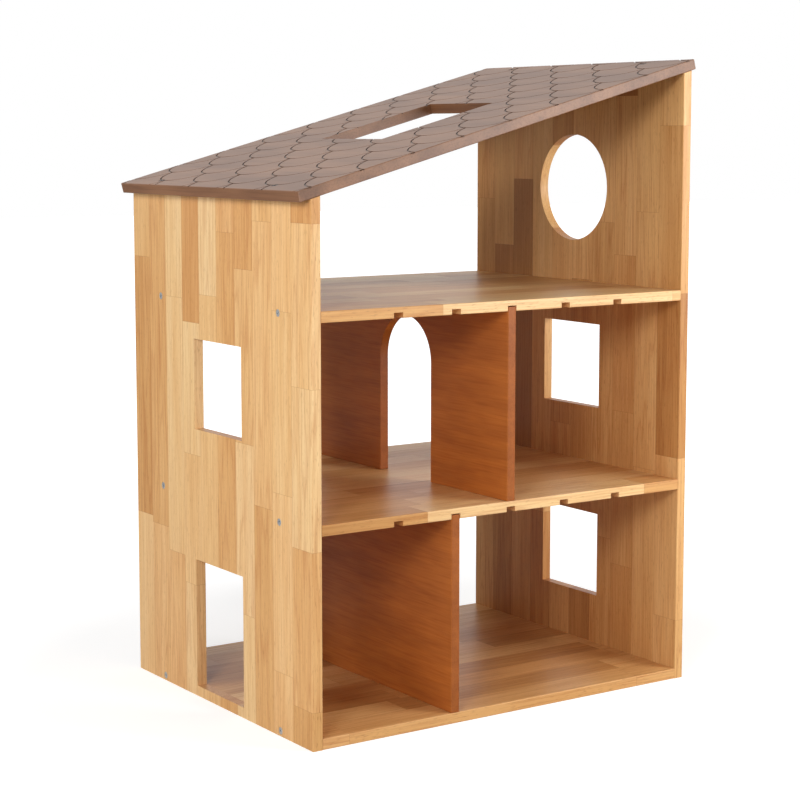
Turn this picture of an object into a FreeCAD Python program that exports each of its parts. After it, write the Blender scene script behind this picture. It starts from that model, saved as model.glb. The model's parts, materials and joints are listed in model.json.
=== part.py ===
import FreeCAD, Part
import math
import os
import re

import Sketcher

# Dollhouse of edge-glued hardwood boards, in millimetres, +Z up, open front towards -Y.
# Origin: middle of the floor board's underside, halfway between the two side panels.

SIZES = [
    ("house_width", 516, "over the outer faces of the two side panels"),
    ("house_depth", 400, "depth of every panel, shelf and partition"),
    ("side_thickness", 12, "side panel"),
    ("shelf_thickness", 12, "floor board and shelves"),
    ("lower_room", 216, "clear height of the lower storey"),
    ("upper_room", 211, "clear height of the upper storey"),
    ("low_eave", 578, "height of the left panel's outer top edge"),
    ("roof_slope", 15, "slope of the roof in degrees"),
    ("roof_thickness", 12, "roof panel"),
    ("low_overhang", 13, "roof past the left panel, along the slope"),
    ("high_overhang", 6, "roof past the right panel, along the slope"),
    ("skylight_length", 160, "skylight along the slope"),
    ("skylight_width", 126, "skylight across the slope"),
    ("scale_width", 80, "width of one engraved fish scale"),
    ("scale_row", 33, "pitch of the rows of fish scales"),
    ("scale_start", 17, "eave to the first row's lowest point"),
    ("scale_line", 1.8, "width of the engraved line"),
    ("scale_depth", 1.0, "depth of the engraved line"),
    ("window_width", 108, "windows and doorway of the side panels"),
    ("window_height", 103, "windows of the side panels"),
    ("left_sill", 311, "sill of the left panel's window"),
    ("right_low_sill", 72, "sill of the right panel's lower window"),
    ("right_high_sill", 308, "sill of the right panel's upper window"),
    ("side_door_height", 148, "left panel's doorway, above the floor board"),
    ("porthole_radius", 65, "round attic window"),
    ("porthole_height", 578, "centre of the round attic window"),
    ("partition_thickness", 11, "sliding partitions"),
    ("groove_side_gap", 0.4, "each side of a partition in its groove"),
    ("groove_depth", 6, "grooves under the shelves"),
    ("groove_top_gap", 1.2, "over a partition in its groove"),
    ("foot_gap", 0.3, "under a partition"),
    ("groove_pitch", 75, "from groove to groove"),
    ("arch_width", 106, "doorway in the upper partition"),
    ("arch_spring", 139, "height of the doorway's straight sides"),
    ("edge_round", 1.0, "rounding of the long front and back edges"),
    ("screw_spread", 266, "between the two screws in a shelf end"),
    ("screw_length", 45, "shelf screw"),
    ("roof_screw_length", 30, "roof screw"),
    ("roof_screw_spread", 256, "between the two roof screws over a panel"),
    ("shank_radius", 2.0, "shank of a screw"),
    ("head_radius", 4.0, "countersunk head of a screw"),
    ("head_height", 2.4, "cone of the head"),
    ("socket_radius", 1.5, "hexagon socket, to its corners"),
    ("socket_depth", 1.6, "hexagon socket"),
    ("head_sink", 0.2, "how far a head sits below the board's face"),
    ("dowel_radius", 3.0, "alignment dowel"),
    ("dowel_length", 28, "alignment dowel"),
    ("dowel_in_side", 7, "length of a dowel inside the side panel"),
    ("hole_gap", 0.05, "radial gap round a screw or a dowel"),
    ("hole_end_gap", 0.5, "gap past the end of a screw or a dowel"),
]
ALIASES = {alias for alias, _, _ in SIZES}
GROOVE_COUNT = 5
LOWER_PARTITION_GROOVE = -1  # counted from the middle groove
UPPER_PARTITION_GROOVE = 0
OVERCUT = 5.0  # how far a cutting tool runs out of the board
FRONT_AND_BACK = {"front": -1, "back": 1}

doc = FreeCAD.newDocument("dollhouse")
sheet = doc.addObject("Spreadsheet::Sheet", "Sizes")
for row, (alias, number, meaning) in enumerate(SIZES, start=1):
    sheet.set("A%d" % row, meaning)
    sheet.set("B%d" % row, str(number))
    sheet.setAlias("B%d" % row, alias)
doc.recompute()
size = {alias: float(sheet.get(alias)) for alias in ALIASES}

# Heights and places that follow from the driving sizes, written as expressions.
HALF_DEPTH = "house_depth / 2"
INNER_WIDTH = "(house_width - 2 * side_thickness)"
SHELF_UNDERSIDES = {
    "floor_board": "0",
    "middle_shelf": "(shelf_thickness + lower_room)",
    "top_shelf": "(2 * shelf_thickness + lower_room + upper_room)",
}
MIDDLE_TOP = "(2 * shelf_thickness + lower_room)"
SLOPE_SIN = "sin(roof_slope * 1deg)"
SLOPE_COS = "cos(roof_slope * 1deg)"
SLOPE_TAN = "tan(roof_slope * 1deg)"
RAFTER = "(house_width / cos(roof_slope * 1deg))"
ROOF_BITE = "(roof_screw_length + head_sink - roof_thickness)"


def bind(item, target, words):
    """Binds a property or a sketch constraint to an expression of the sheet's sizes."""
    def named(match):
        return "Sizes." + match.group() if match.group() in ALIASES else match.group()

    item.setExpression(target, re.sub(r"[a-z_]+", named, words))


def place(item, x="0", y="0", z="0", axis=None, angle=None):
    """Binds an object's place, and its turn when it has one."""
    for name, words in (("x", x), ("y", y), ("z", z)):
        bind(item, "Placement.Base." + name, words)
    if axis is not None:
        item.Placement.Rotation = FreeCAD.Rotation(axis, 1)
        bind(item, "Placement.Rotation.Angle", angle)
    return item


def on_plane(body, role, name):
    """A new sketch on one of a body's own origin planes."""
    sketch = body.newObject("Sketcher::SketchObject", name)
    plane = [item for item in body.Origin.OriginFeatures if item.Role == role][0]
    sketch.AttachmentSupport = [(plane, "")]
    sketch.MapMode = "FlatFace"
    return sketch


def polygon(sketch, corners):
    """A closed outline whose corners are pairs of expressions, each bound by two distances."""
    points = [FreeCAD.Vector(10 * i, 7 * i * i % 31, 0) for i in range(len(corners))]
    for i, start in enumerate(points):
        sketch.addGeometry(Part.LineSegment(start, points[(i + 1) % len(points)]))
    for i in range(len(corners)):
        sketch.addConstraint(Sketcher.Constraint("Coincident", i, 2, (i + 1) % len(corners), 1))
    for i, corner in enumerate(corners):
        for kind, words in zip(("DistanceX", "DistanceY"), corner):
            index = sketch.addConstraint(Sketcher.Constraint(kind, -1, 1, i, 1, 1.0))
            bind(sketch, "Constraints[%d]" % index, words)


def rectangle(sketch, left, right, low, high):
    """A rectangle between two pairs of expressions."""
    polygon(sketch, [(left, low), (right, low), (right, high), (left, high)])


def circle(sketch, x, y, radius):
    """A circle whose centre and radius are expressions."""
    sketch.addGeometry(Part.Circle(FreeCAD.Vector(1, 1, 0), FreeCAD.Vector(0, 0, 1), 1))
    to_centre = (-1, 1, 0, 3, 1.0)
    for kind, where, words in (
        ("DistanceX", to_centre, x),
        ("DistanceY", to_centre, y),
        ("Radius", (0, 1.0), radius),
    ):
        index = sketch.addConstraint(Sketcher.Constraint(kind, *where))
        bind(sketch, "Constraints[%d]" % index, words)


def pad(body, sketch, length, both_ways=True):
    """Pads a sketch, to both sides of its plane unless told otherwise."""
    feature = body.newObject("PartDesign::Pad", body.Name + "_pad")
    feature.Profile = sketch
    feature.SideType = "Symmetric" if both_ways else "One side"
    bind(feature, "Length", length)
    body.Tip = feature
    return feature


def pocket_through(body, sketch):
    """Cuts a sketch right through the body, both ways, and makes sure that it cut."""
    doc.recompute()
    before = body.Shape.Volume
    feature = body.newObject("PartDesign::Pocket", sketch.Name + "_cut")
    feature.Profile = sketch
    feature.SideType = "Symmetric"
    feature.Type = "ThroughAll"
    body.Tip = feature
    doc.recompute()
    if not body.Shape.Volume < before:
        raise RuntimeError(sketch.Name + " cuts nothing")
    return feature


def round_edges(body, wanted):
    """Rounds the edges of the body's last feature that the test picks."""
    doc.recompute()
    tip = body.Tip
    names = ["Edge%d" % n for n, edge in enumerate(tip.Shape.Edges, start=1) if wanted(edge)]
    feature = body.newObject("PartDesign::Fillet", body.Name + "_round")
    feature.Base = (tip, names)
    bind(feature, "Radius", "edge_round")
    body.Tip = feature
    return feature


def along(edge, axis):
    """True for a straight edge that is parallel to a row axis."""
    if not isinstance(edge.Curve, Part.Line):
        return False
    direction = edge.Vertexes[-1].Point - edge.Vertexes[0].Point
    return abs(direction.normalize().dot(axis)) > 0.999


def fused(name, parts):
    """One tool made of several."""
    result = doc.addObject("Part::MultiFuse", name)
    result.Shapes = parts
    return result


def cut(name, base, tools):
    """A board with its drilled holes, under the board's own name."""
    result = doc.addObject("Part::Cut", name)
    result.Base = base
    result.Tool = fused(name + "_tools", tools) if len(tools) > 1 else tools[0]
    return result


# Boards


def side_panel(name, side):
    """A side panel with its top bevelled to the roof; side is -1 for the left one and 1 for the right."""
    body = doc.addObject("PartDesign::Body", name + "_board")
    profile = on_plane(body, "XZ_Plane", name + "_profile")
    outer, inner = "house_width / 2", "(house_width / 2 - side_thickness)"
    left, right = ("-" + outer, "-" + inner) if side < 0 else (inner, outer)
    under_roof = "(low_eave + (%s + house_width / 2) * %s)"
    polygon(
        profile,
        [
            (left, "0"),
            (right, "0"),
            (right, under_roof % (right, SLOPE_TAN)),
            (left, under_roof % (left, SLOPE_TAN)),
        ],
    )
    pad(body, profile, "house_depth")
    round_edges(body, lambda edge: along(edge, FreeCAD.Vector(0, 0, 1)))
    return body


def window(body, name, sill, height):
    """A rectangular opening, centred in the depth of a side panel."""
    sketch = on_plane(body, "YZ_Plane", name)
    rectangle(sketch, "-window_width / 2", "window_width / 2", sill, "(%s + %s)" % (sill, height))
    pocket_through(body, sketch)


def left_side():
    """The low panel, with a window over a doorway whose sill is the floor board's top."""
    body = side_panel("left_side_panel", -1)
    window(body, "left_window", "left_sill", "window_height")
    window(body, "left_doorway", "shelf_thickness", "side_door_height")
    return body


def right_side():
    """The high panel, with two windows and a round one in the attic."""
    body = side_panel("right_side_panel", 1)
    window(body, "right_low_window", "right_low_sill", "window_height")
    window(body, "right_high_window", "right_high_sill", "window_height")
    sketch = on_plane(body, "YZ_Plane", "porthole")
    circle(sketch, "0", "porthole_height", "porthole_radius")
    pocket_through(body, sketch)
    return body


def shelf(name, underside, grooved):
    """A board between the side panels; a grooved one takes partitions from below."""
    body = doc.addObject("PartDesign::Body", name + "_board")
    profile = on_plane(body, "XZ_Plane", name + "_profile")
    half = INNER_WIDTH + " / 2"
    rectangle(profile, "-" + half, half, underside, "(%s + shelf_thickness)" % underside)
    pad(body, profile, "house_depth")
    round_edges(body, lambda edge: along(edge, FreeCAD.Vector(1, 0, 0)))
    if grooved:
        cut_grooves(body, name, underside)
    return body


def cut_grooves(body, name, underside):
    """Grooves that run from front to back along the underside, a pitch apart."""
    sketch = on_plane(body, "XZ_Plane", name + "_groove")
    half = "(partition_thickness / 2 + groove_side_gap)"
    first = "%d * groove_pitch / 2" % (1 - GROOVE_COUNT)
    left, right = ("(%s %s %s)" % (first, sign, half) for sign in "-+")
    low, high = ("(%s %s groove_depth)" % (underside, sign) for sign in "-+")
    rectangle(sketch, left, right, low, high)
    groove = pocket_through(body, sketch)
    one_groove = body.Shape.Volume
    pattern = body.newObject("PartDesign::LinearPattern", name + "_grooves")
    pattern.Originals = [groove]
    pattern.Direction = (sketch, ["H_Axis"])
    pattern.Occurrences = GROOVE_COUNT
    bind(pattern, "Length", "%d * groove_pitch" % (GROOVE_COUNT - 1))
    body.Tip = pattern
    doc.recompute()
    if not body.Shape.Volume < one_groove:
        raise RuntimeError(name + " grooves are not repeated")


def partition(name, groove, floor_top, shelf_under):
    """A sliding partition, as deep as the house, whose top stands in the groove with the given number."""
    body = doc.addObject("PartDesign::Body", name)
    sketch = on_plane(body, "YZ_Plane", name + "_outline")
    top = "(%s + groove_depth - groove_top_gap)" % shelf_under
    rectangle(sketch, "-" + HALF_DEPTH, HALF_DEPTH, "(%s + foot_gap)" % floor_top, top)
    pad(body, sketch, "partition_thickness")
    round_edges(body, lambda edge: along(edge, FreeCAD.Vector(0, 0, 1)))
    place(body, x="%d * groove_pitch" % groove)
    return body


def cut_arch(body, floor_top):
    """A round-topped doorway in the middle of a partition, open at its foot."""
    sketch = on_plane(body, "YZ_Plane", "arch")
    sill = "(%s - foot_gap)" % floor_top
    rectangle(sketch, "-arch_width / 2", "arch_width / 2", sill, "(%s + arch_spring)" % floor_top)
    pocket_through(body, sketch)
    crown = on_plane(body, "YZ_Plane", "arch_crown")
    circle(crown, "0", "(%s + arch_spring)" % floor_top, "arch_width / 2")
    pocket_through(body, crown)


def on_roof(item, slope_place="0", y="0", height="0"):
    """Puts a piece drawn flat on the roof: along the slope, across it, and above its underside."""
    return place(
        item,
        x="(%s * %s - %s * %s - house_width / 2)" % (slope_place, SLOPE_COS, height, SLOPE_SIN),
        y=y,
        z="(low_eave + %s * %s + %s * %s)" % (slope_place, SLOPE_SIN, height, SLOPE_COS),
        axis=FreeCAD.Vector(0, -1, 0),
        angle="roof_slope",
    )


def roof():
    """The roof panel, drawn flat from the left panel's outer top edge, with its skylight."""
    body = doc.addObject("PartDesign::Body", "roof_board")
    sketch = on_plane(body, "XY_Plane", "roof_outline")
    rectangle(sketch, "-low_overhang", "(%s + high_overhang)" % RAFTER, "-" + HALF_DEPTH, HALF_DEPTH)
    pad(body, sketch, "roof_thickness", both_ways=False)
    round_edges(body, lambda edge: edge.Length > size["roof_thickness"] * 2)
    hole = on_plane(body, "XY_Plane", "skylight")
    left, right = ("(%s / 2 %s skylight_length / 2)" % (RAFTER, sign) for sign in "-+")
    rectangle(hole, left, right, "-skylight_width / 2", "skylight_width / 2")
    pocket_through(body, hole)
    return on_roof(body)


def scale_line(x, y):
    """One engraved arc: its lowest point is at x, y and its ends are one row up the slope."""
    half, rise = size["scale_width"] / 2, size["scale_row"]
    radius = (half**2 + rise**2) / (2 * rise)
    opening = math.asin(half / radius)
    centre = FreeCAD.Vector(x + radius, y, 0)

    def point(distance, turn):
        return centre + FreeCAD.Vector(-math.cos(turn), math.sin(turn), 0) * distance

    def arc(rim):
        return Part.Arc(*[point(rim, turn) for turn in (-opening, 0, opening)]).toShape()

    rims = [radius - size["scale_line"] / 2, radius + size["scale_line"] / 2]
    ends = [Part.makeLine(point(rims[0], turn), point(rims[1], turn)) for turn in (-opening, opening)]
    outline = Part.Wire(Part.__sortEdges__([arc(rims[0]), arc(rims[1])] + ends))
    return Part.Face(outline).extrude(FreeCAD.Vector(0, 0, size["scale_depth"] + OVERCUT))


def engraving():
    """All the arcs: rows up the slope, each row half a scale across from the last."""
    length = size["house_width"] / math.cos(math.radians(size["roof_slope"]))
    length += size["low_overhang"] + size["high_overhang"]
    rows = math.ceil((length - size["scale_start"]) / size["scale_row"])
    across = math.ceil(size["house_depth"] / size["scale_width"] / 2) + 1
    arcs = []
    for row in range(-1, rows):
        shift = 0.5 * ((row + 1) % 2)
        for column in range(-across, across + 1):
            y = (column + shift) * size["scale_width"]
            if abs(y) < size["house_depth"] / 2 + size["scale_width"] / 2:
                x = size["scale_start"] - size["low_overhang"] + row * size["scale_row"]
                arcs.append(scale_line(x, y))
    tool = doc.addObject("Part::Feature", "fish_scales")
    tool.Shape = arcs[0].multiFuse(arcs[1:])
    return on_roof(tool, height="(roof_thickness - scale_depth)")


# Fasteners, drawn with the head's face at the origin and the shank pointing down


def turned(name, kind, **sizes):
    """A Part primitive whose sizes are expressions."""
    item = doc.addObject("Part::" + kind, name)
    for target, words in sizes.items():
        bind(item, target, words)
    return item


def screw(name, length):
    """A countersunk screw with a hexagon socket."""
    cone = {"Radius1": "shank_radius", "Radius2": "head_radius", "Height": "head_height"}
    head = turned(name + "_head", "Cone", **cone)
    place(head, z="-head_height")
    below = "(%s - head_height)" % length
    shank = turned(name + "_shank", "Cylinder", Radius="shank_radius", Height=below)
    place(shank, z="-" + length)
    over = "(socket_depth + %g)" % OVERCUT
    socket = turned(name + "_socket", "Prism", Circumradius="socket_radius", Height=over)
    place(socket, z="-socket_depth")
    return cut(name, fused(name + "_blank", [head, shank]), [socket])


def screw_hole(name, length):
    """The hole of a screw: shank, countersink and a mouth that clears the face."""
    wide, narrow = "(head_radius + hole_gap)", "(shank_radius + hole_gap)"
    mouth = turned(name + "_mouth", "Cylinder", Radius=wide, Height="(head_sink + %g)" % OVERCUT)
    sink = turned(name + "_sink", "Cone", Radius1=narrow, Radius2=wide, Height="head_height")
    place(sink, z="-head_height")
    bore = turned(name + "_bore", "Cylinder", Radius=narrow, Height="(%s + hole_end_gap)" % length)
    place(bore, z="-(%s + hole_end_gap)" % length)
    return fused(name, [mouth, sink, bore])


def at_shelf_end(item, side, y, height, depth):
    """Turns a piece's top outwards at a side panel, sunk below the outer face by depth."""
    place(item, x="%d * (house_width / 2 - %s)" % (side, depth), y=y, z=height)
    item.Placement.Rotation = FreeCAD.Rotation(FreeCAD.Vector(0, 1, 0), 90 * side)
    return item


def shelf_fasteners(shelf_name, underside):
    """Two screws and one hidden dowel at each end of a board; gives the hole tools by side."""
    height = "(%s + shelf_thickness / 2)" % underside
    holes = {}
    for side_name, side in {"left": -1, "right": 1}.items():
        holes[side_name] = []
        stem = "%s_%s_" % (shelf_name, side_name)
        for end_name, end in FRONT_AND_BACK.items():
            y = "%d * screw_spread / 2" % end
            piece = screw(stem + end_name + "_screw", "screw_length")
            hole = screw_hole(stem + end_name + "_hole", "screw_length")
            for item in (piece, hole):
                at_shelf_end(item, side, y, height, "head_sink")
            nodes.append(piece)
            holes[side_name].append(hole)
        dowel = turned(stem + "dowel", "Cylinder", Radius="dowel_radius", Height="dowel_length")
        inner_end = "(side_thickness + dowel_length - dowel_in_side)"
        at_shelf_end(dowel, side, "0", height, inner_end)
        bore = turned(
            stem + "dowel_bore",
            "Cylinder",
            Radius="(dowel_radius + hole_gap)",
            Height="(dowel_length + 2 * hole_end_gap)",
        )
        at_shelf_end(bore, side, "0", height, "(%s + hole_end_gap)" % inner_end)
        nodes.append(dowel)
        holes[side_name].append(bore)
    return holes


def roof_fasteners():
    """Two screws through the roof into each side panel, square to the roof."""
    holes = {}
    for side_name, middle in {
        "left": "(side_thickness / 2)",
        "right": "(house_width - side_thickness / 2)",
    }.items():
        up_slope = "((%s - %s / 2 * %s) / %s)" % (middle, ROOF_BITE, SLOPE_SIN, SLOPE_COS)
        holes[side_name] = []
        for end_name, end in FRONT_AND_BACK.items():
            stem = "roof_%s_%s_" % (side_name, end_name)
            piece = screw(stem + "screw", "roof_screw_length")
            hole = screw_hole(stem + "hole", "roof_screw_length")
            for item in (piece, hole):
                across = "%d * roof_screw_spread / 2" % end
                on_roof(item, up_slope, across, "(roof_thickness - head_sink)")
            nodes.append(piece)
            holes[side_name].append(hole)
    return holes


# Assembly

nodes = []
side_holes = {"left": [], "right": []}
for board_name, board_underside in SHELF_UNDERSIDES.items():
    ends = shelf_fasteners(board_name, board_underside)
    board = shelf(board_name, board_underside, grooved=board_name != "floor_board")
    nodes.append(cut(board_name, board, ends["left"] + ends["right"]))
    for side_name in side_holes:
        side_holes[side_name] += ends[side_name]
roof_holes = roof_fasteners()
nodes.append(cut("left_side_panel", left_side(), side_holes["left"] + roof_holes["left"]))
nodes.append(cut("right_side_panel", right_side(), side_holes["right"] + roof_holes["right"]))
engraved = cut("roof_engraved", roof(), [engraving()])
nodes.append(cut("roof_panel", engraved, roof_holes["left"] + roof_holes["right"]))
lower = partition(
    "lower_partition", LOWER_PARTITION_GROOVE, "shelf_thickness", SHELF_UNDERSIDES["middle_shelf"]
)
upper = partition("upper_partition", UPPER_PARTITION_GROOVE, MIDDLE_TOP, SHELF_UNDERSIDES["top_shelf"])
cut_arch(upper, MIDDLE_TOP)
nodes += [lower, upper]

doc.recompute()
for item in doc.Objects:
    if "Invalid" in item.State or "Error" in item.State:
        raise RuntimeError("%s failed: %s" % (item.Name, item.State))
for node in nodes:
    node.Label = node.Name
    if node.Shape.isNull() or not node.Shape.isValid() or len(node.Shape.Solids) != 1:
        raise RuntimeError(node.Name + " is not one valid solid")

os.makedirs("parts", exist_ok=True)
for node in nodes:
    node.Shape.exportStep(os.path.join("parts", node.Label + ".step"))
print("%d pieces" % len(nodes))
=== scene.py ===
"""Wooden dollhouse: the looks of its boards, partitions, roof and fasteners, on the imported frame."""

import json
import logging
import math
from abc import ABC, abstractmethod
from dataclasses import dataclass, field
from enum import Enum
from functools import partial

import bpy
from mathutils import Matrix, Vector

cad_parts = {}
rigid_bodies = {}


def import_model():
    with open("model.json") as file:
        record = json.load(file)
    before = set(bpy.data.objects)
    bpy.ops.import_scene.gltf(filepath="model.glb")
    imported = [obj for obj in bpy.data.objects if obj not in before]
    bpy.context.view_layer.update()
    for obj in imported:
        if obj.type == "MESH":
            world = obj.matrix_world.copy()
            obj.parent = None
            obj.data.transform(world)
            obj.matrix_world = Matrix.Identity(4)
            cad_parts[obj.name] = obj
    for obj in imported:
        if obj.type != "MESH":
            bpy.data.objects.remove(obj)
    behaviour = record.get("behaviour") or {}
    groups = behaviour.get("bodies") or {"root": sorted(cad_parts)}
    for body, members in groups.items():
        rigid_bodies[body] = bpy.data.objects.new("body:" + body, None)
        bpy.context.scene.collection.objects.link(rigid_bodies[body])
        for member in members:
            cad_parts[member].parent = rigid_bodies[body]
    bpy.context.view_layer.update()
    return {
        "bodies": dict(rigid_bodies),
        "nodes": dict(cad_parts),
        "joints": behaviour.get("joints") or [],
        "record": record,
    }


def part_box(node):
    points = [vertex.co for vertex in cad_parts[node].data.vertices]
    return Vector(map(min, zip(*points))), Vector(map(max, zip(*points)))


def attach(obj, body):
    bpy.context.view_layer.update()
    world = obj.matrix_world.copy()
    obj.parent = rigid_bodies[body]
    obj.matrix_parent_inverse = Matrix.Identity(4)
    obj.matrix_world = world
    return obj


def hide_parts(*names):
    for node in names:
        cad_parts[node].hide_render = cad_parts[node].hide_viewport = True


LOG = logging.getLogger("dollhouse")
MM = 0.001
SOFT_EDGE = 0.5 * MM
SEAM_GAP = 0.004 * MM
SHARP_ANGLE = math.radians(35)
WHITE = (1.0, 1.0, 1.0, 1.0)

Socket = bpy.types.NodeSocket
Tree = bpy.types.NodeTree


class Grain(Enum):
    """Which row axes run along, across and through a board's wood."""

    UPRIGHT = ("Z", "Y", "X")
    SIDEWAYS = ("X", "Y", "Z")
    FRONT_TO_BACK = ("Y", "Z", "X")


def linear(code: str) -> tuple[float, float, float, float]:
    """Turns an sRGB hex colour into linear light.

    Args:
        code: Six hex digits after a hash.

    Returns:
        Red, green, blue and an alpha of one.
    """
    parts = [int(code[i : i + 2], 16) / 255 for i in (1, 3, 5)]
    turned = [c / 12.92 if c <= 0.04045 else ((c + 0.055) / 1.055) ** 2.4 for c in parts]
    return (turned[0], turned[1], turned[2], 1.0)


def add_node(
    tree: Tree, kind: str, inputs: tuple | dict = (), output: int | str = 0, **settings: object
) -> Socket | None:
    """Adds a node with its settings, values and links.

    Args:
        tree: The node tree that gets the node.
        kind: The node's type.
        inputs: Values, or output sockets to link from, in socket order or by socket name or number.
        output: Name or number of the output that is wanted.
        **settings: The node's own properties.

    Returns:
        The wanted output; its node is the socket's own node. None where the node has no output.
    """
    node = tree.nodes.new(kind)
    for name, value in settings.items():
        setattr(node, name, value)
    for name, value in inputs.items() if isinstance(inputs, dict) else enumerate(inputs):
        if isinstance(value, Socket):
            tree.links.new(value, node.inputs[name])
        else:
            node.inputs[name].default_value = value
    return node.outputs[output] if node.outputs else None


def fill_ramp(ramp: Socket, stops: list[tuple[float, str]]) -> Socket:
    """Gives a colour ramp its stops.

    Args:
        ramp: The colour output of a ramp.
        stops: Place and sRGB hex colour of each stop, in order.

    Returns:
        The same output.
    """
    elements = ramp.node.color_ramp.elements
    while len(elements) < len(stops):
        elements.new(0.5)
    for element, (place, code) in zip(elements, stops):
        element.position = place
        element.color = linear(code)
    return ramp


def new_material(name: str) -> tuple[bpy.types.Material, Tree, bpy.types.Node]:
    """A node material with its principled shader.

    Args:
        name: The material's name.

    Returns:
        The material, its tree and its shader.
    """
    material = bpy.data.materials.new(name)
    material.use_nodes = True
    tree = material.node_tree
    return material, tree, tree.nodes["Principled BSDF"]


@dataclass(frozen=True)
class Streak:
    """Noise drawn out along the grain: one streak's length and width in millimetres, and its octaves.

    Real fibres and pores are finer than a render shows, so they are drawn as coarse as they need to show.
    """

    length: float
    width: float
    detail: float = 3.0


class WoodSpace:
    """A board's own millimetre coordinates inside a material: along, across and through the grain."""

    def __init__(self, tree: Tree, grain: Grain) -> None:
        """Reads the object's coordinates and sorts them by grain.

        Args:
            tree: The material's node tree.
            grain: Which way the wood runs.
        """
        add = partial(add_node, tree)
        self.tree = tree
        self.place = add("ShaderNodeTexCoord", output="Object")
        scaled = add("ShaderNodeVectorMath", {0: self.place, "Scale": 1 / MM}, operation="SCALE")
        axes = add("ShaderNodeSeparateXYZ", (scaled,)).node.outputs
        facing = add("ShaderNodeSeparateXYZ", (self.place.node.outputs["Normal"],)).node.outputs
        self.along, self.across, self.through = (axes[axis] for axis in grain.value)
        end, edge = (
            add("ShaderNodeMath", (facing[axis],), operation="ABSOLUTE") for axis in grain.value[:2]
        )
        self.end_grain = add("ShaderNodeMath", (end, 0.8), operation="GREATER_THAN")
        self.off_edge = add("ShaderNodeMath", (edge, 0.3), operation="LESS_THAN")

    def streaks(self, streak: Streak, shift: Socket | tuple) -> Socket:
        """Noise drawn out along the grain.

        Args:
            streak: The size of a streak.
            shift: Moves the pattern, for each strip of wood or for the whole board.

        Returns:
            A value between 0 and 1.
        """
        add = partial(add_node, self.tree)
        place = add("ShaderNodeCombineXYZ", (self.along, self.across, self.through))
        per_mm = (1 / streak.length, 1 / streak.width, 0.8 / streak.width)
        sized = add("ShaderNodeVectorMath", (place, per_mm), operation="MULTIPLY")
        moved = add("ShaderNodeVectorMath", (sized, shift), operation="ADD")
        inputs = {"Vector": moved, "Scale": 1.0, "Detail": streak.detail, "Roughness": 0.55}
        return add("ShaderNodeTexNoise", inputs)

    def tint(self, colour: Socket, layers: list[tuple[Socket, str]]) -> Socket:
        """Multiplies a colour by one tint after another.

        Args:
            colour: The colour underneath.
            layers: How much of each tint, and its sRGB hex colour.

        Returns:
            The tinted colour.
        """
        for amount, code in layers:
            inputs = {0: amount, 6: colour, 7: linear(code)}
            colour = add_node(
                self.tree, "ShaderNodeMix", inputs, 2, data_type="RGBA", blend_type="MULTIPLY"
            )
        return colour

    def relief(self, height: Socket, depth_mm: float, strength: float) -> Socket:
        """Fine relief on slightly softened edges.

        Args:
            height: The height of the surface, from 0 to 1.
            depth_mm: What a height of one stands for.
            strength: How much of it shows.

        Returns:
            The surface's normal.
        """
        softened = add_node(self.tree, "ShaderNodeBevel", {"Radius": SOFT_EDGE}, samples=4)
        inputs = {"Strength": strength, "Distance": depth_mm * MM, "Height": height, "Normal": softened}
        return add_node(self.tree, "ShaderNodeBump", inputs)


@dataclass(frozen=True)
class StaveSockets:
    """What a material knows about the strip of wood that a point lies in."""

    colour: Socket
    number: Socket
    joint: Socket


@dataclass(frozen=True)
class Lacquer:
    """Thin clear lacquer: how much the wood itself shines, how thick the coat looks and how rough it is."""

    shine: float
    coat: float
    coat_roughness: float

    def brush_on(self, shader: bpy.types.Node) -> None:
        """Sets the shader's own sockets."""
        shader.inputs["Specular IOR Level"].default_value = self.shine
        shader.inputs["Coat Weight"].default_value = self.coat
        shader.inputs["Coat Roughness"].default_value = self.coat_roughness


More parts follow.
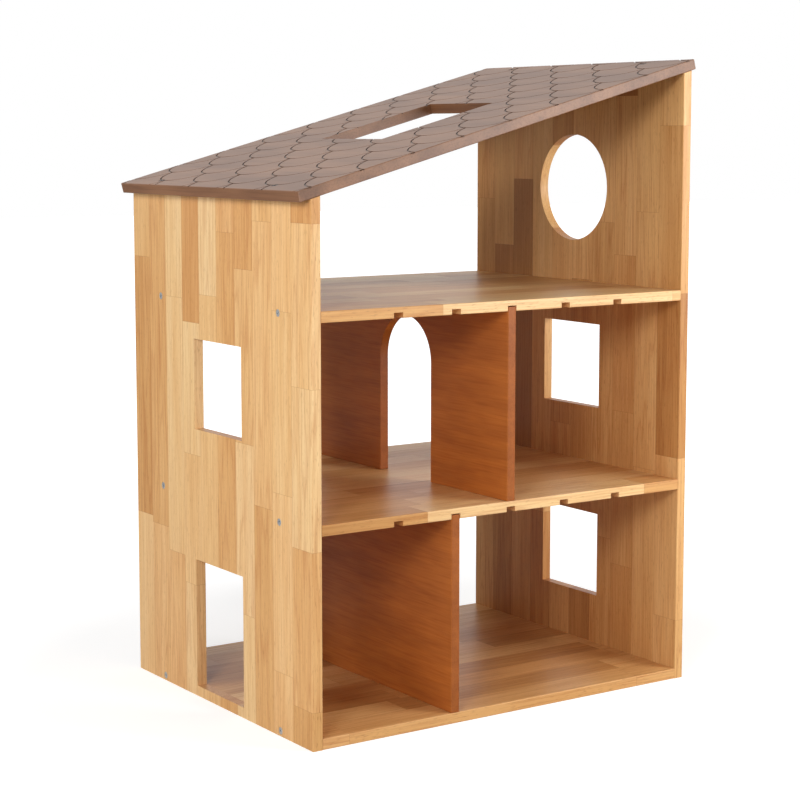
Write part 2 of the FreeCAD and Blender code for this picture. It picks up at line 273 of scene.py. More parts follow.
@dataclass(frozen=True)
class LacqueredRubberwood:
    """Rubberwood staves, butt-jointed, edge-glued and sanded under a clear satin lacquer.

    The eye sees 40 mm strips that differ a little in tone, short joints across them, long
    fine grain, dark pores and a soft sheen.
    """

    name: str = "lacquered_rubberwood"
    tones: tuple[str, ...] = ("#F1D09C", "#EBC288", "#E0B073", "#CF9A5D", "#B27D47")
    stave_mm: float = 40.0
    shortest_mm: float = 150.0
    longest_mm: float = 420.0
    glue_line_mm: float = 0.4
    lightest: float = -0.1
    stave_spread: float = 0.55
    figure_spread: float = 0.45
    pinkness: float = 0.25
    glue_dark: float = 0.4
    end_dark: float = 0.4
    roughness: tuple[float, float] = (0.32, 0.44)
    lacquer: Lacquer = Lacquer(0.2, 0.06, 0.25)
    fibre: Streak = Streak(80.0, 1.5, 4.0)
    figure: Streak = Streak(260.0, 17.0, 1.5)
    pore: Streak = Streak(9.0, 0.9, 1.0)

    def make(self, grain: Grain, seed: int, painted_shade: float = 0.0) -> bpy.types.Material:
        """Builds the material for one board.

        Args:
            grain: Which way the staves run.
            seed: Changes the layout of the staves.
            painted_shade: How much painted shade the board gets, moving its whole colour towards the deeper
                tones; most for the boards whose seen faces lie inside the house.

        Returns:
            The material.
        """
        material, tree, shader = new_material("%s_%s_%d" % (self.name, grain.name.lower(), seed))
        add = partial(add_node, tree)
        wood = WoodSpace(tree, grain)
        stave = self._staves(wood, seed)
        shift = add("ShaderNodeVectorMath", {0: stave.colour, "Scale": 90.0}, operation="SCALE")
        fibres, broad, pores = (
            wood.streaks(streak, shift) for streak in (self.fibre, self.figure, self.pore)
        )
        # painted shade: the board's whole tone is moved towards the deeper tones by its painted shade
        # amount
        mostly_light = add("ShaderNodeMath", (stave.number, 1.7), operation="POWER")
        inputs = (mostly_light, self.stave_spread, painted_shade + self.lightest)
        stave_tone = add("ShaderNodeMath", inputs, operation="MULTIPLY_ADD")
        tone = add("ShaderNodeMath", (broad, self.figure_spread, stave_tone), operation="MULTIPLY_ADD")
        last = len(self.tones) - 1
        stops = [(0.04 + 0.92 * i / last, code) for i, code in enumerate(self.tones)]
        colour = fill_ramp(add("ShaderNodeValToRGB", (tone,)), stops)
        parts = add("ShaderNodeSeparateColor", (stave.colour,)).node.outputs
        ring = add("ShaderNodeMath", (broad, 7.0), operation="MULTIPLY")
        ring = add("ShaderNodeMath", (ring, 0.5), operation="PINGPONG")
        ring = add("ShaderNodeMapRange", (ring, 0.0, 0.22, 0.26, 0.0))
        flat_sawn = add("ShaderNodeMath", (parts[2], 0.5), operation="GREATER_THAN")
        fibre_dark = add("ShaderNodeMapRange", (fibres, 0.42, 0.72, 0.0, 0.42))
        pore_dark = add("ShaderNodeMapRange", (pores, 0.62, 0.72, 0.0, 0.3))
        layers = [
            (add("ShaderNodeMath", (parts[1], self.pinkness), operation="MULTIPLY"), "#FBDFD2"),
            (add("ShaderNodeMath", (ring, flat_sawn), operation="MULTIPLY"), "#C98E5A"),
            (fibre_dark, "#C48B54"),
            (pore_dark, "#9A6638"),
            (add("ShaderNodeMath", (stave.joint, self.glue_dark), operation="MULTIPLY"), "#A8713F"),
            (add("ShaderNodeMath", (wood.end_grain, self.end_dark), operation="MULTIPLY"), "#C08A58"),
        ]
        tree.links.new(wood.tint(colour, layers), shader.inputs["Base Color"])
        dips = add("ShaderNodeMath", (stave.joint, pore_dark), operation="ADD")
        ridges = add("ShaderNodeMath", (fibres, 0.4), operation="MULTIPLY")
        height = add("ShaderNodeMath", (ridges, dips), operation="SUBTRACT")
        tree.links.new(wood.relief(height, 0.1, 0.25), shader.inputs["Normal"])
        rough = add("ShaderNodeMapRange", (fibres, 0.3, 0.7, *self.roughness))
        tree.links.new(rough, shader.inputs["Roughness"])
        self.lacquer.brush_on(shader)
        return material

    def _staves(self, wood: WoodSpace, seed: int) -> StaveSockets:
        """Lays out strips of random length, side by side.

        Args:
            wood: The board's coordinates.
            seed: Changes the lengths and the tones.

        Returns:
            What is the same all over one strip, and the lines between strips.
        """
        add = partial(add_node, wood.tree)
        # a little wider than a stave, so that a board's long edges fall inside its outer staves
        row_place = add("ShaderNodeMath", (wood.across, self.stave_mm * 1.001), operation="DIVIDE")
        row = add("ShaderNodeMath", (row_place,), operation="FLOOR")
        row_key = add("ShaderNodeMath", (row, seed), operation="ADD")
        dice = add("ShaderNodeTexWhiteNoise", {"W": row_key}, "Color", noise_dimensions="1D")
        dice = add("ShaderNodeSeparateColor", (dice,)).node.outputs
        spread = self.longest_mm - self.shortest_mm
        length = add("ShaderNodeMath", (dice[0], spread, self.shortest_mm), operation="MULTIPLY_ADD")
        start = add("ShaderNodeMath", (dice[1], self.longest_mm, wood.along), operation="MULTIPLY_ADD")
        piece_place = add("ShaderNodeMath", (start, length), operation="DIVIDE")
        piece = add("ShaderNodeMath", (piece_place,), operation="FLOOR")
        key = add("ShaderNodeCombineXYZ", (row, piece, seed))
        stave_tone = add("ShaderNodeTexWhiteNoise", (key,), noise_dimensions="3D").node.outputs
        lines = []
        for place, pitch in ((row_place, self.stave_mm), (piece_place, length)):
            inside = add("ShaderNodeMath", (place, 0.5), operation="PINGPONG")
            distance = add("ShaderNodeMath", (inside, pitch), operation="MULTIPLY")
            lines.append(add("ShaderNodeMapRange", (distance, 0.0, self.glue_line_mm, 1.0, 0.0)))
        glue = add("ShaderNodeMath", (lines[0], wood.off_edge), operation="MULTIPLY")
        joint = add("ShaderNodeMath", (glue, lines[1]), operation="MAXIMUM")
        return StaveSockets(stave_tone["Color"], stave_tone["Value"], joint)


@dataclass(frozen=True)
class StainedBoard:
    """Hardwood board stained red-brown under satin lacquer.

    The eye sees one warm colour with faint wavy grain along the board, cloudy bands where
    the stain soaked in, and a soft sheen.
    """

    name: str = "stained_partition_board"
    light: str = "#B86B2E"
    dark: str = "#A65E28"
    line: str = "#C0957A"
    roughness: tuple[float, float] = (0.38, 0.50)
    lacquer: Lacquer = Lacquer(0.18, 0.05, 0.3)
    fibre: Streak = Streak(55.0, 1.8, 4.0)
    cloud: Streak = Streak(160.0, 26.0, 2.0)
    ripple: Streak = Streak(38.0, 6.0, 1.0)

    def make(self, grain: Grain, seed: int) -> bpy.types.Material:
        """Builds the material for one partition.

        Args:
            grain: Which way the wood runs.
            seed: Moves the pattern.

        Returns:
            The material.
        """
        material, tree, shader = new_material("%s_%d" % (self.name, seed))
        add = partial(add_node, tree)
        wood = WoodSpace(tree, grain)
        shift = (seed * 7.3, seed * 3.1, seed * 5.7)
        fibres, clouds, ripple = (
            wood.streaks(streak, shift) for streak in (self.fibre, self.cloud, self.ripple)
        )
        broad = add("ShaderNodeMath", (clouds, 0.65), operation="MULTIPLY")
        mix = add("ShaderNodeMath", (ripple, 0.35, broad), operation="MULTIPLY_ADD")
        colour = fill_ramp(add("ShaderNodeValToRGB", (mix,)), [(0.36, self.dark), (0.62, self.light)])
        layers = [
            (add("ShaderNodeMapRange", (fibres, 0.45, 0.75, 0.0, 0.35)), self.line),
            (add("ShaderNodeMath", (wood.end_grain, 0.3), operation="MULTIPLY"), "#A07860"),
        ]
        tree.links.new(wood.tint(colour, layers), shader.inputs["Base Color"])
        tree.links.new(wood.relief(fibres, 0.08, 0.2), shader.inputs["Normal"])
        rough = add("ShaderNodeMapRange", (fibres, 0.3, 0.7, *self.roughness))
        tree.links.new(rough, shader.inputs["Roughness"])
        self.lacquer.brush_on(shader)
        return material


@dataclass(frozen=True)
class RoofPlane:
    """Where the roof's upper face and its skylight lie, worked out from the frame."""

    middle: Vector
    normal: Vector
    up_slope: Vector
    half_length: float
    half_width: float
    skylight_shift: float
    skin: float = 0.05 * MM
    deepest: float = 3 * MM
    margin: float = 1.3 * MM
    skylight_half_length: float = 80.5 * MM
    skylight_half_width: float = 63.5 * MM


@dataclass(frozen=True)
class EngravedRoofStain:
    """Hardwood board stained dark brown, its fish scales cut by a router through the stain.

    The eye sees a greyish brown with a broad sheen, and engraved lines in a deeper brown than the board:
    partly the lines' own colour, partly painted shade in the grooves.
    """

    name: str = "stained_roof_board"
    light: str = "#8C6244"
    dark: str = "#714C33"
    # colour painted into the engraved grooves: partly the lines' own colour, partly painted shade in the
    # recess
    cut: str = "#46301F"
    roughness: float = 0.42
    lacquer: Lacquer = Lacquer(0.3, 0.12, 0.35)
    fibre: Streak = Streak(60.0, 1.8, 4.0)
    cloud: Streak = Streak(180.0, 30.0, 2.0)

    def make(self, plane: RoofPlane) -> bpy.types.Material:
        """Builds the roof's material.

        Args:
            plane: Where the roof's upper face lies.

        Returns:
            The material.
        """
        material, tree, shader = new_material(self.name)
        add = partial(add_node, tree)
        wood = WoodSpace(tree, Grain.FRONT_TO_BACK)
        fibres, clouds = (wood.streaks(streak, (3.0, 5.0, 7.0)) for streak in (self.fibre, self.cloud))
        colour = fill_ramp(add("ShaderNodeValToRGB", (clouds,)), [(0.35, self.dark), (0.65, self.light)])
        fibre_dark = add("ShaderNodeMapRange", (fibres, 0.45, 0.75, 0.0, 0.4))
        colour = wood.tint(colour, [(fibre_dark, "#8A6A58")])
        # the engraved grooves get the cut colour: partly their own colour, partly painted shade
        inputs = {0: self._engraved(wood, plane), 6: colour, 7: linear(self.cut)}
        colour = add("ShaderNodeMix", inputs, 2, data_type="RGBA")
        tree.links.new(colour, shader.inputs["Base Color"])
        tree.links.new(wood.relief(fibres, 0.08, 0.2), shader.inputs["Normal"])
        shader.inputs["Roughness"].default_value = self.roughness
        self.lacquer.brush_on(shader)
        return material

    def _engraved(self, wood: WoodSpace, plane: RoofPlane) -> Socket:
        """A mask that is one inside the engraved lines.

        Args:
            wood: The roof's coordinates.
            plane: Where the roof's upper face lies.

        Returns:
            A value of zero or one.
        """
        add = partial(add_node, wood.tree)
        offset = add("ShaderNodeVectorMath", (wood.place, plane.middle), operation="SUBTRACT")
        height, along, across = (
            add("ShaderNodeVectorMath", (offset, way), "Value", operation="DOT_PRODUCT")
            for way in (plane.normal, plane.up_slope, (0, 1, 0))
        )
        hole_along = add("ShaderNodeMath", (along, plane.skylight_shift), operation="SUBTRACT")
        along, across, hole_along = (
            add("ShaderNodeMath", (value,), operation="ABSOLUTE") for value in (along, across, hole_along)
        )
        beside = add("ShaderNodeMath", (across, plane.skylight_half_width), operation="GREATER_THAN")
        beyond = add("ShaderNodeMath", (hole_along, plane.skylight_half_length), operation="GREATER_THAN")
        inside = add("ShaderNodeMath", (beside, beyond), operation="MAXIMUM")
        for value, limit, operation in (
            (height, -plane.skin, "LESS_THAN"),
            (height, -plane.deepest, "GREATER_THAN"),
            (along, plane.half_length - plane.margin, "LESS_THAN"),
            (across, plane.half_width - plane.margin, "LESS_THAN"),
        ):
            within = add("ShaderNodeMath", (value, limit), operation=operation)
            inside = add("ShaderNodeMath", (inside, within), operation="MULTIPLY")
        return inside


@dataclass(frozen=True)
class Steel:
    """Cold-headed screw steel under a thin plating, which mottles its tone and its gloss.

    Zinc plating looks light grey with a faint blue; the roof screws' steel looks near black and oily.
    """

    name: str
    dark: str
    light: str
    metallic: float
    smoothest: float
    roughest: float

    def make(self) -> bpy.types.Material:
        """Builds the material."""
        material, tree, shader = new_material(self.name)
        add = partial(add_node, tree)
        place = add("ShaderNodeTexCoord", output="Object")
        mottle = add("ShaderNodeTexNoise", {"Vector": place, "Scale": 1500.0})
        colour = fill_ramp(add("ShaderNodeValToRGB", (mottle,)), [(0.3, self.dark), (0.7, self.light)])
        tree.links.new(colour, shader.inputs["Base Color"])
        rough = add("ShaderNodeMapRange", (mottle, 0.0, 1.0, self.smoothest, self.roughest))
        tree.links.new(rough, shader.inputs["Roughness"])
        shader.inputs["Metallic"].default_value = self.metallic
        return material


ZINC_PLATED = Steel("zinc_plated_steel", "#B9BCBE", "#D8DADB", 1.0, 0.30, 0.44)
# near black all over, used for the roof screws
NEAR_BLACK_STEEL = Steel("blackened_steel", "#1B1816", "#2B2622", 0.6, 0.38, 0.52)


@dataclass(frozen=True)
class TurnedBeech:
    """Beech rod, fluted and cut to length.

    The eye sees pale pinkish wood with short dark flecks, unfinished and matt.
    """

    name: str = "beech_dowel"
    light: str = "#E3C29B"
    dark: str = "#CFA67C"
    fibre: Streak = Streak(30.0, 0.8)
    fleck: Streak = Streak(2.5, 0.4, 1.0)

    def make(self) -> bpy.types.Material:
        """Builds the material."""
        material, tree, shader = new_material(self.name)
        add = partial(add_node, tree)
        wood = WoodSpace(tree, Grain.SIDEWAYS)
        fibres, flecks = (wood.streaks(streak, (0.0, 0.0, 0.0)) for streak in (self.fibre, self.fleck))
        colour = fill_ramp(add("ShaderNodeValToRGB", (fibres,)), [(0.35, self.dark), (0.65, self.light)])
        fleck_dark = add("ShaderNodeMapRange", (flecks, 0.62, 0.70, 0.0, 0.5))
        tree.links.new(wood.tint(colour, [(fleck_dark, "#A9714C")]), shader.inputs["Base Color"])
        tree.links.new(wood.relief(fibres, 0.05, 0.3), shader.inputs["Normal"])
        shader.inputs["Roughness"].default_value = 0.7
        return material


def paint(frame: dict, name: str, material: bpy.types.Material) -> None:
    """Gives a CAD node a material in all its slots.

    Args:
        frame: The loaded frame.
        name: The node's name.
        material: The material it gets.
    """
    node = frame["nodes"][name]
    if not node.material_slots:
        node.data.materials.append(material)
    for slot in node.material_slots:
        slot.material = material


@dataclass(frozen=True)
class Board:
    """One board: its node, which way its staves run, its own layout and how much painted shade its whole
    colour gets.
    """

    name: str
    grain: Grain
    seed: int
    painted_shade: float


@dataclass
class Boards:
    """The panels and shelves of the house, and the roof."""

    frame: dict
    finish: LacqueredRubberwood = field(default_factory=LacqueredRubberwood)
    roof_finish: EngravedRoofStain = field(default_factory=EngravedRoofStain)
    boards: tuple[Board, ...] = (
        # painted shade: most on the right panel, whose inner face is seen inside the house, then the floor
        # and the shelves; none on the left panel
        Board("left_side_panel", Grain.UPRIGHT, 3, 0.0),
        Board("right_side_panel", Grain.UPRIGHT, 4, 0.34),
        Board("floor_board", Grain.SIDEWAYS, 11, 0.17),
        Board("middle_shelf", Grain.SIDEWAYS, 12, 0.08),
        Board("top_shelf", Grain.SIDEWAYS, 13, 0.05),
    )

    def build(self) -> list[str]:
        """Gives every board its finish.

        Returns:
            The names of the dressed nodes.
        """
        for board in self.boards:
            paint(self.frame, board.name, self.finish.make(board.grain, board.seed, board.painted_shade))
        paint(self.frame, "roof_panel", self.roof_finish.make(roof_plane()))
        return [board.name for board in self.boards] + ["roof_panel"]


def roof_slope() -> float:
    """The roof's slope in radians, from the tops of the two side panels."""
    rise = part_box("right_side_panel")[1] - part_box("left_side_panel")[1]
    return math.atan2(rise.z, rise.x)


def roof_plane() -> RoofPlane:
    """Finds the roof's upper face from the roof board's own box and the side panels' tops.

    Returns:
        The face and the place of the skylight on it.
    """
    slope = roof_slope()
    up_slope = Vector((math.cos(slope), 0, math.sin(slope)))
    normal = Vector((-math.sin(slope), 0, math.cos(slope)))
    low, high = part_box("roof_panel")
    wide, tall = high.x - low.x, high.z - low.z
    thickness = (tall * math.cos(slope) - wide * math.sin(slope)) / math.cos(2 * slope)
    length = (wide - thickness * math.sin(slope)) / math.cos(slope)
    middle = Vector((low.x, 0, high.z - length * math.sin(slope))) + up_slope * length / 2
    right_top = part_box("right_side_panel")[1]
    house_middle = Vector((0, 0, right_top.z - right_top.x * math.tan(slope)))
    shift = (house_middle - middle).dot(up_slope)
    return RoofPlane(middle, normal, up_slope, length / 2, (high.y - low.y) / 2, shift)


@dataclass
class Partitions:
    """The two sliding partitions."""

    frame: dict
    finish: StainedBoard = field(default_factory=StainedBoard)
    names: tuple[str, ...] = ("upper_partition", "lower_partition")

    def build(self) -> list[str]:
        """Gives both partitions their finish and returns their names."""
        for seed, name in enumerate(self.names, start=1):
            paint(self.frame, name, self.finish.make(Grain.FRONT_TO_BACK, seed))
        return list(self.names)


@dataclass(frozen=True)
class Spot:
    """Where one of a repeated shape goes, and which way its own Z points."""

    place: Vector
    facing: Vector


@dataclass
class Repeated(ABC):
    """A shape made by Geometry Nodes and repeated at places read from the CAD nodes it stands for."""

    name: str
    slot: str
    nodes: list[str]
    columns: int
    rows: int

    @abstractmethod
    def spots(self) -> list[Spot]:
        """Where each one goes."""

    @abstractmethod
    def sizes(self) -> dict[str, float]:
        """The tree's named inputs and their values in metres."""

    @abstractmethod
    def profile(
        self, tree: Tree, size: dict[str, Socket], turn: Socket, step: Socket
    ) -> tuple[Socket, Socket]:
        """The distance from the axis and the height along it.

        Args:
            tree: The geometry tree.
            size: The tree's named inputs.
            turn: Goes from 0 to 1 round the axis.
            step: Goes from 0 to 1 along the outline, from the tail to the head.

        Returns:
            The radius and the height, in metres.
        """

    def build(self, material: bpy.types.Material) -> bpy.types.Object:
        """Makes one plain mesh of all the repeats, on the house.

        Args:
            material: What they are made of.

        Returns:
            The finished object.
        """
        spots, sizes = self.spots(), self.sizes()
        mesh = bpy.data.meshes.new(self.name + "_places")
        mesh.from_pydata([spot.place for spot in spots], [], [])
        facing = mesh.attributes.new("facing", "FLOAT_VECTOR", "POINT")
        facing.data.foreach_set("vector", [part for spot in spots for part in spot.facing])
        piece = bpy.data.objects.new(self.name, mesh)
        bpy.context.scene.collection.objects.link(piece)
        modifier = piece.modifiers.new(self.name, "NODES")
        modifier.node_group = self._tree(sizes, material)
        for item in modifier.node_group.interface.items_tree:
            if item.name in sizes:
                modifier[item.identifier] = sizes[item.name]
        evaluated = piece.evaluated_get(bpy.context.evaluated_depsgraph_get())
        plain = bpy.data.meshes.new_from_object(evaluated)
        piece.modifiers.remove(modifier)
        piece.data = plain
        plain.name = self.name
        plain.shade_smooth()
        plain.set_sharp_from_angle(angle=SHARP_ANGLE)
        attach(piece, "house")
        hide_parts(*self.nodes)
        return piece

    def _tree(self, sizes: dict[str, float], material: bpy.types.Material) -> Tree:
        """A tree that bends a grid round an axis and puts one at each point.

        Args:
            sizes: The tree's named inputs.
            material: What the shape is made of.

        Returns:
            The tree.
        """
        tree = bpy.data.node_groups.new(self.name, "GeometryNodeTree")
        tree.interface.new_socket("Geometry", in_out="INPUT", socket_type="NodeSocketGeometry")
        for label in sizes:
            tree.interface.new_socket(label, in_out="INPUT", socket_type="NodeSocketFloat")
        tree.interface.new_socket("Geometry", in_out="OUTPUT", socket_type="NodeSocketGeometry")
        add = partial(add_node, tree)
        given = add("NodeGroupInput").node.outputs
        grid = add("GeometryNodeMeshGrid", (1.0, 1.0, self.columns + 1, self.rows + 1))
        flat = add("ShaderNodeSeparateXYZ", (add("GeometryNodeInputPosition"),)).node.outputs
        turn, step = (add("ShaderNodeMath", (flat[axis], 0.5), operation="ADD") for axis in (0, 1))
        radius, height = self.profile(tree, {label: given[label] for label in sizes}, turn, step)
        angle = add("ShaderNodeMath", (turn, math.tau), operation="MULTIPLY")
        ways = [add("ShaderNodeMath", (angle,), operation=kind) for kind in ("COSINE", "SINE")]
        level = [add("ShaderNodeMath", (radius, way), operation="MULTIPLY") for way in ways]
        place = add("ShaderNodeCombineXYZ", (*level, height))
        bent = add("GeometryNodeSetPosition", {"Geometry": grid, "Position": place})
        closed = add("GeometryNodeMergeByDistance", {"Geometry": bent, "Distance": SEAM_GAP})
        facing = add("GeometryNodeInputNamedAttribute", {"Name": "facing"}, data_type="FLOAT_VECTOR")
        aligned = add("FunctionNodeAlignRotationToVector", {"Vector": facing}, axis="Z")
        inputs = {"Points": given["Geometry"], "Instance": closed, "Rotation": aligned}
        spread = add("GeometryNodeInstanceOnPoints", inputs)
        real = add("GeometryNodeRealizeInstances", (spread,))
        dressed = add("GeometryNodeSetMaterial", {"Geometry": real, "Material": material})
        add("NodeGroupOutput", (dressed,))
        return tree


@dataclass
class Screws(Repeated):
    """Countersunk wood screws with a hexagon socket: pointed, threaded for most of their length."""

    columns: int = 24
    rows: int = 160
    shank_radius: float = 2.0 * MM
    head_radius: float = 4.0 * MM
    head_height: float = 2.4 * MM
    socket_radius: float = 1.5 * MM
    socket_depth: float = 1.6 * MM
    pitch: float = 2.2 * MM
    threaded_share: float = 0.62
    root_share: float = 0.7
    tip_turns: float = 2.5
    square_to_roof: bool = False

    def spots(self) -> list[Spot]:
        """Middles of the heads' faces, facing out of the panel's side or up from the roof."""
        found = []
        slope = roof_slope()
        for node in self.nodes:
            low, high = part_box(node)
            middle = (low + high) / 2
            if self.square_to_roof:
                facing = Vector((-math.sin(slope), 0, math.cos(slope)))
                across, up = self.head_radius * math.cos(slope), self.head_radius * math.sin(slope)
                place = Vector((low.x + across, middle.y, high.z - up))
            else:
                side = math.copysign(1, middle.x)
                facing = Vector((side, 0, 0))
                place = Vector((high.x if side > 0 else low.x, middle.y, middle.z))
            found.append(Spot(place, facing))
        return found

    def sizes(self) -> dict[str, float]:
        """The screw's sizes, its length read from the first node's box."""
        low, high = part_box(self.nodes[0])
        length = high.x - low.x
        if self.square_to_roof:
            slope = roof_slope()
            ends = (self.shank_radius + self.head_radius) * math.sin(slope)
            length = (high.z - low.z - ends) / math.cos(slope)
        return {
            "Length": length,
            "Shank radius": self.shank_radius,
            "Head radius": self.head_radius,
            "Head height": self.head_height,
            "Socket radius": self.socket_radius,
            "Socket depth": self.socket_depth,
            "Pitch": self.pitch,
        }

    def profile(
        self, tree: Tree, size: dict[str, Socket], turn: Socket, step: Socket
    ) -> tuple[Socket, Socket]:
        """Point, thread, plain neck, cone, face, hexagon wall and the socket's floor, one after another.

        Args:
            tree: The geometry tree.
            size: The tree's named inputs.
            turn: Goes from 0 to 1 round the axis.
            step: Goes from 0 to 1 along the outline.

        Returns:
            The radius and the height, in metres.
        """
        add = partial(add_node, tree)
        shank = add("ShaderNodeMath", (size["Length"], size["Head height"]), operation="SUBTRACT")
        up = add("ShaderNodeMapRange", (step, 0.0, 0.8, 0.0, shank))
        cone, face, wall = (
            add("ShaderNodeMapRange", (step, start, end, 0.0, 1.0))
            for start, end in ((0.8, 0.9), (0.9, 0.95), (0.95, 0.975))
        )
        floor = add("ShaderNodeMapRange", (step, 0.975, 1.0, 1.0, 0.0))
        turns = add("ShaderNodeMath", (up, size["Pitch"]), operation="DIVIDE")
        turns = add("ShaderNodeMath", (turns, turn), operation="ADD")
        wave = add("ShaderNodeMath", (turns, 0.5), operation="PINGPONG")
        threaded = add("ShaderNodeMath", (shank, self.threaded_share), operation="MULTIPLY")
        neck = add("ShaderNodeMath", (threaded, size["Pitch"]), operation="ADD")
        plain = add("ShaderNodeMapRange", (up, threaded, neck, 0.0, 0.5))
        ridge = add("ShaderNodeMath", (wave, plain), operation="MAXIMUM")
        root = add("ShaderNodeMath", (size["Shank radius"], self.root_share), operation="MULTIPLY")
        radius = add("ShaderNodeMapRange", (ridge, 0.0, 0.5, root, size["Shank radius"]))
        tip = add("ShaderNodeMath", (size["Pitch"], self.tip_turns), operation="MULTIPLY")
        point = add("ShaderNodeMapRange", (up, 0.0, tip, 0.0, 1.0))
        radius = add("ShaderNodeMath", (radius, point), operation="MULTIPLY")
        flare = add("ShaderNodeMath", (size["Head radius"], size["Shank radius"]), operation="SUBTRACT")
        radius = add("ShaderNodeMath", (cone, flare, radius), operation="MULTIPLY_ADD")
        angle = add("ShaderNodeMath", (turn, math.tau), operation="MULTIPLY")
        off_flat = add("ShaderNodeMath", (angle, math.pi / 6), operation="PINGPONG")
        flat = add("ShaderNodeMath", (size["Socket radius"], math.cos(math.pi / 6)), operation="MULTIPLY")
        cosine = add("ShaderNodeMath", (off_flat,), operation="COSINE")
        hexagon = add("ShaderNodeMath", (flat, cosine), operation="DIVIDE")
        radius = add("ShaderNodeMapRange", (face, 0.0, 1.0, radius, hexagon))
        radius = add("ShaderNodeMath", (radius, floor), operation="MULTIPLY")
        height = add("ShaderNodeMath", (up, size["Length"]), operation="SUBTRACT")
        height = add("ShaderNodeMath", (cone, size["Head height"], height), operation="MULTIPLY_ADD")
        sunk = add("ShaderNodeMath", (wall, size["Socket depth"]), operation="MULTIPLY")
        return radius, add("ShaderNodeMath", (height, sunk), operation="SUBTRACT")


@dataclass
class Dowels(Repeated):
    """Fluted dowels with chamfered ends, hidden in the shelf ends."""

    columns: int = 72
    rows: int = 10
    flutes: int = 12
    flute_depth: float = 0.35 * MM
    chamfer: float = 1.2 * MM

    def spots(self) -> list[Spot]:
        """The dowels' middles, all along the shelves."""
        return [Spot(sum(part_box(node), Vector()) / 2, Vector((1, 0, 0))) for node in self.nodes]

    def sizes(self) -> dict[str, float]:
        """The dowel's sizes, its length and radius read from the first node's box."""
        low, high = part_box(self.nodes[0])
        return {
            "Length": high.x - low.x,
            "Radius": (high.z - low.z) / 2,
            "Flute depth": self.flute_depth,
            "Chamfer": self.chamfer,
        }

    def profile(
        self, tree: Tree, size: dict[str, Socket], turn: Socket, step: Socket
    ) -> tuple[Socket, Socket]:
        """End, chamfer, fluted side, chamfer and end, one after another.

        Args:
            tree: The geometry tree.
            size: The tree's named inputs.
            turn: Goes from 0 to 1 round the axis.
            step: Goes from 0 to 1 along the outline.

        Returns:
            The radius and the height, in metres.
        """
        add = partial(add_node, tree)
        first_end, first_chamfer, side, last_chamfer, last_end = (
            add("ShaderNodeMapRange", (step, start, start + width, 0.0, 1.0))
            for start, width in ((0.0, 0.1), (0.1, 0.1), (0.2, 0.6), (0.8, 0.1), (0.9, 0.1))
        )
        around = add("ShaderNodeMath", (turn, float(self.flutes)), operation="MULTIPLY")
        wave = add("ShaderNodeMath", (around, 0.5), operation="PINGPONG")
        flute = add("ShaderNodeMapRange", (wave, 0.15, 0.5, 0.0, size["Flute depth"]))
        radius = add("ShaderNodeMath", (size["Radius"], flute), operation="SUBTRACT")
        radius = add("ShaderNodeMath", (radius, size["Chamfer"]), operation="SUBTRACT")
        full = add("ShaderNodeMath", (first_chamfer, last_chamfer), operation="SUBTRACT")
        radius = add("ShaderNodeMath", (full, size["Chamfer"], radius), operation="MULTIPLY_ADD")
        open_end = add("ShaderNodeMath", (first_end, last_end), operation="SUBTRACT")
        radius = add("ShaderNodeMath", (radius, open_end), operation="MULTIPLY")
        both = add("ShaderNodeMath", (first_chamfer, last_chamfer), operation="ADD")
        half = add("ShaderNodeMath", (size["Length"], -0.5), operation="MULTIPLY")
        height = add("ShaderNodeMath", (both, size["Chamfer"], half), operation="MULTIPLY_ADD")
        straight = add("ShaderNodeMath", (size["Chamfer"], -2.0, size["Length"]), operation="MULTIPLY_ADD")
        return radius, add("ShaderNodeMath", (side, straight, height), operation="MULTIPLY_ADD")


@dataclass
class Fasteners:
    """The shelf screws, the roof screws and the hidden dowels."""

    frame: dict

    def build(self) -> list[str]:
        """Makes every fastener.

        Returns:
            The names of the pieces.
        """
        names = list(self.frame["nodes"])
        screws = [name for name in names if name.endswith("_screw")]
        shelf_screws = [name for name in screws if not name.startswith("roof")]
        roof_screws = [name for name in screws if name.startswith("roof")]
        dowels = [name for name in names if name.endswith("_dowel")]
        zinc, black, beech = ZINC_PLATED, NEAR_BLACK_STEEL, TurnedBeech()
        sets = (
            (Screws("shelf_screws", zinc.name, shelf_screws), zinc),
            (Screws("roof_screws", black.name, roof_screws, square_to_roof=True), black),
            (Dowels("dowels", beech.name, dowels), beech),
        )
        return [fasteners.build(finish.make()).name for fasteners, finish in sets]


@dataclass(frozen=True)
class Softbox:
    """A square softbox: where it stands and what it faces, in metres, its side and its power in watts."""

    name: str
    place: tuple[float, float, float]
    target: tuple[float, float, float]
    side: float
    power: float

    def build(self) -> None:
        """Makes the light."""
        light = bpy.data.lights.new(self.name, "AREA")
        light.size = self.side
        light.energy = self.power
        lamp = bpy.data.objects.new(self.name, light)
        lamp.location = self.place
        lamp.rotation_euler = (Vector(self.target) - Vector(self.place)).to_track_quat("-Z", "Y").to_euler()
        bpy.context.scene.collection.objects.link(lamp)


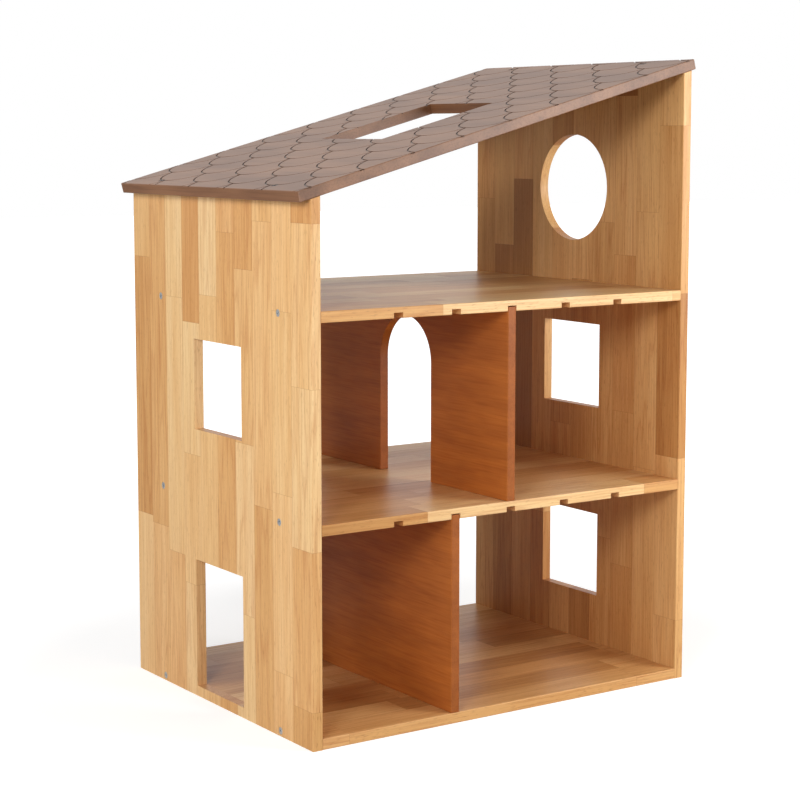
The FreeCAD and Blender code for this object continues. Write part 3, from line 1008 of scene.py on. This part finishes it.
@dataclass
class Studio:
    """Pale floor, soft lights, white surroundings and the camera."""

    camera_place: tuple[float, float, float] = (-1.3124, -1.9192, 0.6453)
    yaw: float = 0.5952
    pitch: float = 0.1144
    lens_mm: float = 89.12
    rise: float = -0.05
    floor_half: float = 12.0
    near_glow: tuple[float, float] = (0.45, 0.62)  # how far from the middle of the floor, and how strong
    far_glow: tuple[float, float] = (1.3, 1.2)
    unseen_glow: float = 0.1
    fill_level: float = 0.06
    mirror_level: float = 1.0
    softboxes: tuple[Softbox, ...] = (
        Softbox("left_softbox", (-2.8, -0.3, 1.3), (0.0, 0.0, 0.35), 2.2, 42.0),
        Softbox("front_left_softbox", (-1.9, -1.6, 1.2), (0.1, -0.2, 0.4), 0.6, 24.0),
        Softbox("front_right_softbox", (0.9, -1.25, 0.7), (0.1, -0.2, 0.4), 0.7, 18.0),
        Softbox("top_softbox", (0.1, 0.3, 3.0), (0.0, 0.0, 0.4), 2.4, 27.0),
    )

    def build(self) -> None:
        """Makes the floor, the lights, the surroundings and the camera."""
        self._floor()
        self._surroundings()
        for softbox in self.softboxes:
            softbox.build()
        self._camera()

    def _floor(self) -> None:
        """A plain pale floor that runs out into white for the camera."""
        half = self.floor_half
        mesh = bpy.data.meshes.new("floor")
        corners = [(-half, -half, 0), (half, -half, 0), (half, half, 0), (-half, half, 0)]
        mesh.from_pydata(corners, [], [(0, 1, 2, 3)])
        floor = bpy.data.objects.new("floor", mesh)
        bpy.context.scene.collection.objects.link(floor)
        material, tree, shader = new_material("pale_paper")
        add = partial(add_node, tree)
        place = add("ShaderNodeTexCoord", output="Object")
        distance = add("ShaderNodeVectorMath", (place,), "Value", operation="LENGTH")
        (near, least), (far, most) = self.near_glow, self.far_glow
        seen_glow = add("ShaderNodeMapRange", (distance, near, far, least, most))
        seen = add("ShaderNodeLightPath", output="Is Camera Ray")
        glow = add("ShaderNodeMapRange", (seen, 0.0, 1.0, self.unseen_glow, seen_glow))
        tree.links.new(glow, shader.inputs["Emission Strength"])
        shader.inputs["Base Color"].default_value = linear("#C8C8C7")
        shader.inputs["Roughness"].default_value = 0.9
        shader.inputs["Specular IOR Level"].default_value = 0.1
        shader.inputs["Emission Color"].default_value = WHITE
        mesh.materials.append(material)

    def _surroundings(self) -> None:
        """Even white all round: full to the camera, less in the gloss and least as light."""
        world = bpy.data.worlds.new("white_studio")
        world.use_nodes = True
        add = partial(add_node, world.node_tree)
        ray = add("ShaderNodeLightPath").node.outputs
        inputs = (ray["Is Glossy Ray"], 0.0, 1.0, self.fill_level, self.mirror_level)
        level = add("ShaderNodeMapRange", inputs)
        level = add("ShaderNodeMapRange", (ray["Is Camera Ray"], 0.0, 1.0, level, 1.0))
        background = world.node_tree.nodes["Background"]
        background.inputs["Color"].default_value = WHITE
        world.node_tree.links.new(level, background.inputs["Strength"])
        bpy.context.scene.world = world

    def _camera(self) -> None:
        """The camera, level across, turned to the house's left front corner."""
        data = bpy.data.cameras.new("camera")
        data.lens = self.lens_mm
        data.sensor_width = 36.0
        data.shift_y = self.rise
        camera = bpy.data.objects.new("camera", data)
        camera.location = self.camera_place
        flat = math.cos(self.pitch)
        ahead = Vector((math.sin(self.yaw) * flat, math.cos(self.yaw) * flat, -math.sin(self.pitch)))
        camera.rotation_euler = ahead.to_track_quat("-Z", "Y").to_euler()
        bpy.context.scene.collection.objects.link(camera)
        bpy.context.scene.camera = camera


def main() -> None:
    """Loads the frame and builds the house's looks in order."""
    logging.basicConfig(level=logging.INFO, format="%(name)s: %(message)s")
    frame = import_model()
    for part in (Boards(frame), Partitions(frame), Fasteners(frame)):
        for name in part.build():
            LOG.info("%s: %s", type(part).__name__, name)
    Studio().build()
    bpy.context.scene.view_settings.view_transform = "Standard"


if __name__ == "__main__":
    main()
